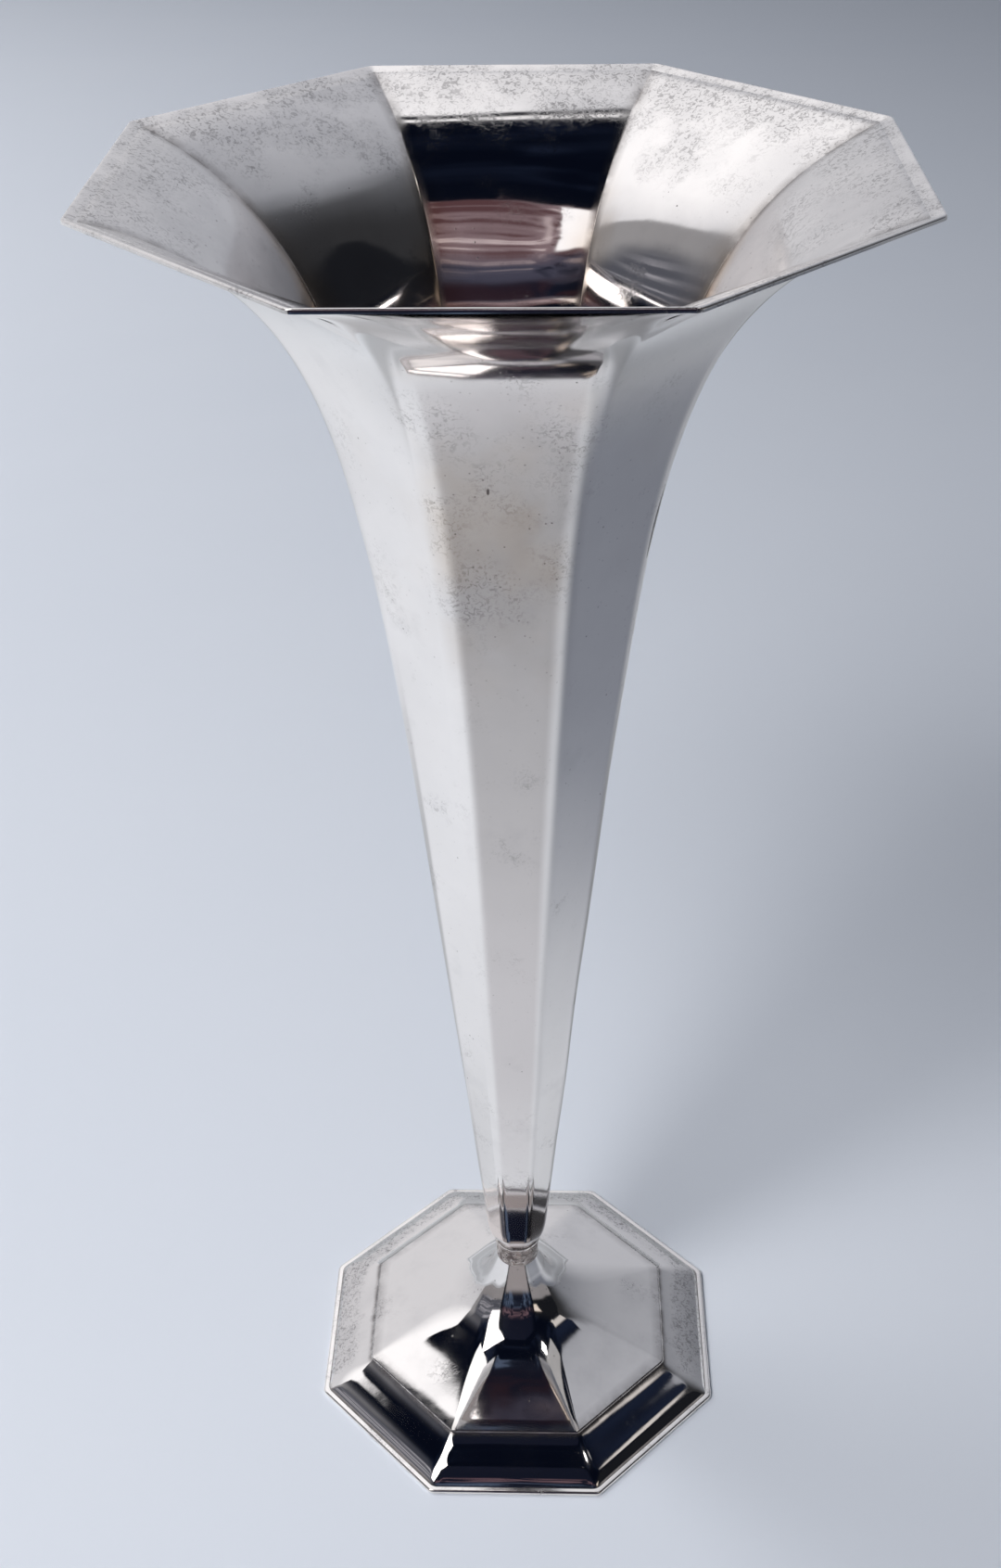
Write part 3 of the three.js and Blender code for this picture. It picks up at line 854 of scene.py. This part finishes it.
# Lamps that only light the table, and light panes that only the silver shows.
Lamp = namedtuple("Lamp", "name place target width height radiance")
PANE_TARGET = (0, 0, 0.05)
TABLE_LAMPS = (
    Lamp("key", (-0.44, -0.50, 0.90), (0, 0, 0.1), 0.41, 0.41, 13.2),
    Lamp("soft_box", (-1.33, 0.80, 1.22), (-0.60, 1.40, 0), 1.59, 1.11, 4.1),
)
LIGHT_PANES = (
    Lamp("tall_window", (-0.40, -0.37, 0.76), PANE_TARGET, 0.46, 0.62, 2.2),
    Lamp("left_skylight", (-0.37, 0.06, 1.1), PANE_TARGET, 0.24, 0.36, 1.2),
    Lamp("right_skylight", (0.38, 0.0, 1.1), PANE_TARGET, 0.17, 0.36, 0.40),
    Lamp("small_lamp", (0.35, -0.16, 1.2), PANE_TARGET, 0.09, 0.09, 9.0),
)


def make_card(name, corners, material):
    """A single flat face."""
    mesh = bpy.data.meshes.new(name)
    mesh.from_pydata(corners, [], [(0, 1, 2, 3)])
    mesh.materials.append(material)
    return add_object(name, mesh)


def make_table():
    """The table. The silver shows it in a lighter painted copy of its colour, with painted shade in front, to
    the right, close by, behind and far off, and a painted glow beyond the lamps' reach. To the camera it
    fades into the background away from the vase."""
    material, g = new_material("table_white")
    place = g.place()
    x, y, _ = g.axes(place)
    distance = g.vector("DISTANCE", place, (0, 0, 0))
    rays = g.add("ShaderNodeLightPath").outputs
    glossy = rays["Is Glossy Ray"]

    def beside(across, ahead):
        return g.math("DIVIDE", g.math("ABSOLUTE", across), g.most(ahead, TABLE_LEAST_AHEAD))

    # Painted shade that only the silver shows: in front of the vase, to its right, close by, behind and far
    # off.
    sideways = beside(x, g.product(y, -1.0))
    front = g.product(g.smooth(y, *TABLE_FRONT_Y), g.smooth(sideways, *TABLE_FRONT_WEDGE))
    right = g.product(g.smooth(x, *TABLE_RIGHT_X), g.smooth(beside(y, x), *TABLE_RIGHT_WEDGE))
    front_shade_colour = g.mix(g.smooth(y, *TABLE_FRONT_SHADE_Y), TABLE_FRONT_NEAR, TABLE_FRONT)
    front_shade_colour = g.mix(g.smooth(y, *TABLE_FRONT_BLACK_Y), front_shade_colour, BLACK)
    behind = g.product(g.smooth(distance, *TABLE_BEHIND), g.smooth(y, *TABLE_BEHIND_Y))
    close = g.product(g.smooth(distance, *TABLE_CLOSE), g.smooth(y, *TABLE_CLOSE_Y))
    painted_dimming = g.most(behind, g.smooth(distance, *TABLE_FAR), close)
    mirrored = g.mix(front, g.mix(painted_dimming, TABLE_MIRRORED_LIT, BLACK), front_shade_colour)
    mirrored = g.mix(right, mirrored, TABLE_RIGHT)
    tint = g.mix(g.patches(place, TABLE_CLOUD_GRAIN, TABLE_CLOUD_SPAN), TABLE, TABLE_SHADED)
    # Painted glow beyond the lamps' reach, which only the silver shows.
    lit = g.add("ShaderNodeBsdfPrincipled", {
        "Base Color": g.mix(glossy, tint, mirrored),
        "Roughness": TABLE_ROUGHNESS,
        "Specular IOR Level": 0.0,
        "Emission Color": TABLE_MIRRORED_LIT,
        "Emission Strength": g.product(glossy, g.smooth(distance, *TABLE_GLOW), g.smooth(x, *TABLE_GLOW_X)),
    }).outputs["BSDF"]
    away = g.most(g.smooth(y, *TABLE_AWAY_Y), g.smooth(g.math("ABSOLUTE", x), *TABLE_AWAY_X),
                  g.smooth(distance, *TABLE_AWAY))
    faded = g.product(away, rays["Is Camera Ray"])
    g.surface(g.mix_shaders(faded, lit, g.emission(BACKGROUND)))
    half = TABLE_SIZE / 2
    corners = [(-half, -half, 0), (half, -half, 0), (half, half, 0), (-half, half, 0)]
    table = make_card("table", corners, material)


def make_front():
    """The glowing card in front of the vase, which only the silver shows, with painted reflections: dark over
    a pale strip, pinkish above, with a painted light pane. Light that leaves it steeply downward, and so
    reaches the foot, has other colours, painted reflections for the foot: a dull edge, bluish patches over it
    and mauve ones higher up."""
    material, g = new_material("front_painted_reflections")
    place = g.place()
    x, _, z = g.axes(place)
    folds = g.noise(place, *FOLD_GRAIN)
    height = g.shifted(z, folds, FOLD_RISE)
    across = g.shifted(x, folds, FOLD_SHIFT)
    patches = g.noise(g.scaled(place, PATCH_SCALE), *PATCH_GRAIN)

    colour = g.mix(g.smooth(z, *STRIP_Z), FRONT_STRIP, FRONT_LOW)
    reddish = g.product(g.smooth(height, *RED_Z), g.smooth(patches, *RED_PATCHES))
    colour = g.mix(reddish, colour, FRONT_RED)
    colour = g.mix(g.smooth(height, *MIDDLE_Z), colour, FRONT_MIDDLE)
    middle = g.smooth(height, *MIDDLE_PATCHES_Z)
    colour = g.mix(g.product(middle, g.smooth(patches, *MIDDLE_PALE_PATCHES)), colour, FRONT_PALE)
    colour = g.mix(g.product(middle, g.smooth(patches, *MIDDLE_DARK_PATCHES)), colour, FRONT_LOW)
    upper = g.smooth(height, *UPPER_Z)
    colour = g.mix(upper, colour, FRONT_HIGH)
    colour = g.mix(g.product(upper, g.smooth(patches, *UPPER_DEEP_PATCHES)), colour, FRONT_DEEP)
    colour = g.mix(g.product(upper, g.smooth(patches, *UPPER_PALE_PATCHES)), colour, FRONT_PALE)
    streak = g.product(g.band(across, *STREAK_X), g.band(height, *STREAK_Z), STREAK_STRENGTH)
    colour = g.mix(streak, colour, FRONT_PALE)
    slant = g.math("MULTIPLY_ADD", z, PANE_LEAN, g.math("ADD", across, PANE_SHIFT))
    colour = g.mix(g.product(g.band(slant, *PANE_X), g.band(height, *PANE_Z)), colour, FRONT_PANE)

    bluish = g.mix(g.smooth(patches, *BLUE_PATCHES), FRONT_LOW, FRONT_BLUE)
    from_foot = g.mix(g.smooth(z, *EDGE_Z), FRONT_EDGE, bluish)
    from_foot = g.mix(g.smooth(z, *BLUE_END_Z), from_foot, FRONT_LOW)
    mauve = g.product(g.band(z, *MAUVE_Z), g.smooth(patches, *MAUVE_PATCHES))
    from_foot = g.mix(mauve, from_foot, FRONT_MAUVE)
    # Painted reflections for the foot, set by how steeply the light leaves the card.
    facing = g.add("ShaderNodeLayerWeight", {"Blend": FACING_BLEND}).outputs["Facing"]
    steep = g.smooth(g.math("MULTIPLY_ADD", z, STEEP_BY_Z, facing), *STEEP_SPAN)
    colour = g.mix(steep, colour, from_foot)

    within = g.product(g.smooth(height, *BACKDROP_TOP), g.band(x, *BACKDROP_SIDES))
    # The card glows though it is no lamp, and only the silver shows its glow.
    g.surface(g.emission(g.mix(within, ROOM_DARK, colour)))
    side, back, top = FRONT_HALF_WIDTH, -FRONT_DISTANCE, FRONT_HEIGHT
    corners = [(-side, back, 0), (side, back, 0), (side, back, top), (-side, back, top)]
    backdrop = make_card("front_painted_reflections", corners, material)
    for ray in ("camera", "diffuse", "shadow", "transmission"):
        setattr(backdrop, "visible_" + ray, False)


def make_room():
    """The room round the stage. The silver shows its light and dark parts, the camera sees the plain
    background, and the table gets a faint ambient light."""
    world = bpy.data.worlds.new("room")
    bpy.context.scene.world = world
    world.use_nodes = True
    g = Graph(world.node_tree)
    direction = g.add("ShaderNodeTexCoord").outputs["Generated"]
    bending = {"Vector": direction, "Scale": BEND_SCALE, "Detail": BEND_DETAIL}
    bends = g.vector("SUBTRACT", g.add("ShaderNodeTexNoise", bending).outputs["Color"], NOISE_MIDDLE)
    x, y, z = g.axes(g.vector("MULTIPLY_ADD", bends, BEND, direction))
    left = g.smooth(x, *LEFT_X)
    right = g.smooth(x, *RIGHT_X)

    left_light = g.mix(g.smooth(z, *LEFT_LIGHT_Z), ROOM_LEFT_LOW, ROOM_LEFT_HIGH)
    right_light = g.mix(g.smooth(x, *RIGHT_LIGHT_X), ROOM_RIGHT_NEAR, ROOM_RIGHT_FAR)
    fading = g.product(right, g.smooth(y, *RIGHT_DIM_Y), g.smooth(z, *RIGHT_DIM_Z))
    right_light = g.mix(fading, right_light, ROOM_RIGHT_DIM)
    light = g.mix(g.smooth(x, *LIGHT_ACROSS_X), left_light, right_light)

    low = g.smooth(z, *LOW_Z)
    in_front = g.smooth(y, *IN_FRONT_Y)
    dark = g.mix(g.patches(direction, DUSK_GRAIN, DUSK_SPAN), ROOM_DARK, ROOM_DUSK)
    dark = g.mix(g.product(low, left), dark, SIDE_LEFT)
    dark = g.mix(g.product(low, right), dark, SIDE_RIGHT)
    dark = g.mix(g.product(low, left, g.smooth(y, *LEFT_WALL_Y)), dark, LEFT_WALL)
    panes = g.patches(g.scaled(direction, LEFT_PANE_SCALE), LEFT_PANE_GRAIN, LEFT_PANE_SPAN)
    dark = g.mix(g.product(in_front, low, g.band(x, *LEFT_PANE_X), panes), dark, LEFT_PANE)
    right_pane = g.product(g.band(x, *RIGHT_PANE_X), g.band(z, *RIGHT_PANE_Z))
    dark = g.mix(g.product(in_front, right_pane), dark, RIGHT_PANE)
    right_streak = g.product(g.band(z, *RIGHT_STREAK_Z), g.band(y, *RIGHT_STREAK_Y), RIGHT_STREAK_STRENGTH)
    dark = g.mix(g.product(right, right_streak), dark, RIGHT_STREAK)
    dark = g.mix(g.smooth(z, *HORIZON_Z), dark, ROOM_HORIZON)

    light_from = g.blend(left, LIGHT_FROM_OVERHEAD, g.smooth(z, *LIGHT_FROM_LEFT))
    light_from = g.blend(right, light_from, g.smooth(z, *LIGHT_FROM_RIGHT))
    beyond = g.math("SUBTRACT", y, light_from)
    mirrored = g.mix(g.smooth(beyond, *LIGHT_EDGE), dark, light)
    bright_line = g.product(g.band(beyond, *BRIGHT_LINE), g.band(x, *BRIGHT_LINE_X), BRIGHT_LINE_STRENGTH)
    mirrored = g.mix(bright_line, mirrored, ROOM_LEFT_HIGH)
    rays = g.add("ShaderNodeLightPath").outputs
    seen = g.mix(rays["Is Glossy Ray"], AMBIENT, mirrored)
    seen = g.mix(rays["Is Camera Ray"], seen, BACKGROUND)
    shader = g.add("ShaderNodeBackground", {"Color": seen, "Strength": 1.0})
    g.surface(shader.outputs["Background"], "ShaderNodeOutputWorld")


def make_lamp(lamp, mirrored):
    """A flat lamp that the silver shows when it is mirrored, and that lights the table when it isn't."""
    light = bpy.data.lights.new(lamp.name, "AREA")
    light.shape = "RECTANGLE"
    light.size, light.size_y = lamp.width, lamp.height
    light.energy = lamp.radiance * lamp.width * lamp.height * math.pi
    holder = add_object(lamp.name, light)
    holder.location = lamp.place
    holder.rotation_euler = (Vector(lamp.target) - Vector(lamp.place)).to_track_quat("-Z", "Y").to_euler()
    holder.visible_camera = False
    holder.visible_diffuse = not mirrored
    holder.visible_glossy = mirrored


def make_camera():
    level, drop = math.cos(CAMERA_PITCH), math.sin(CAMERA_PITCH)
    forward = Vector((-math.sin(CAMERA_YAW) * level, math.cos(CAMERA_YAW) * level, -drop))
    right = Vector((math.cos(CAMERA_YAW), math.sin(CAMERA_YAW), 0))
    up = right.cross(forward)
    x_axis = math.cos(CAMERA_ROLL) * right + math.sin(CAMERA_ROLL) * up
    y_axis = math.cos(CAMERA_ROLL) * up - math.sin(CAMERA_ROLL) * right
    data = bpy.data.cameras.new("camera")
    data.sensor_fit = "AUTO"
    data.sensor_width = SENSOR
    data.lens = FOCAL_PIXELS / max(IMAGE_WIDTH, IMAGE_HEIGHT) * SENSOR
    data.clip_start = CAMERA_NEAREST
    camera = add_object("camera", data)
    turn = Matrix((x_axis, y_axis, -forward)).transposed().to_4x4()
    camera.matrix_world = Matrix.Translation(CAMERA_PLACE) @ turn
    bpy.context.scene.camera = camera


make_camera()
make_table()
make_front()
make_room()
for table_lamp in TABLE_LAMPS:
    make_lamp(table_lamp, mirrored=False)
for light_pane in LIGHT_PANES:
    make_lamp(light_pane, mirrored=True)

body_material = silver("body_silver", roughness=0.04, ripple=0.02 * MM, nick=NICK)
wire_material = silver("wire_silver", roughness=0.14, ripple=0.02 * MM)
foot_material = silver("foot_silver", roughness=0.035, ripple=0.015 * MM)

make_body(body_material)
make_rim(wire_material)
make_cup(body_material)
make_collar(collar_silver())
make_foot(foot_material)
make_foot_wire(wire_material)

bpy.context.scene.view_settings.view_transform = "Standard"
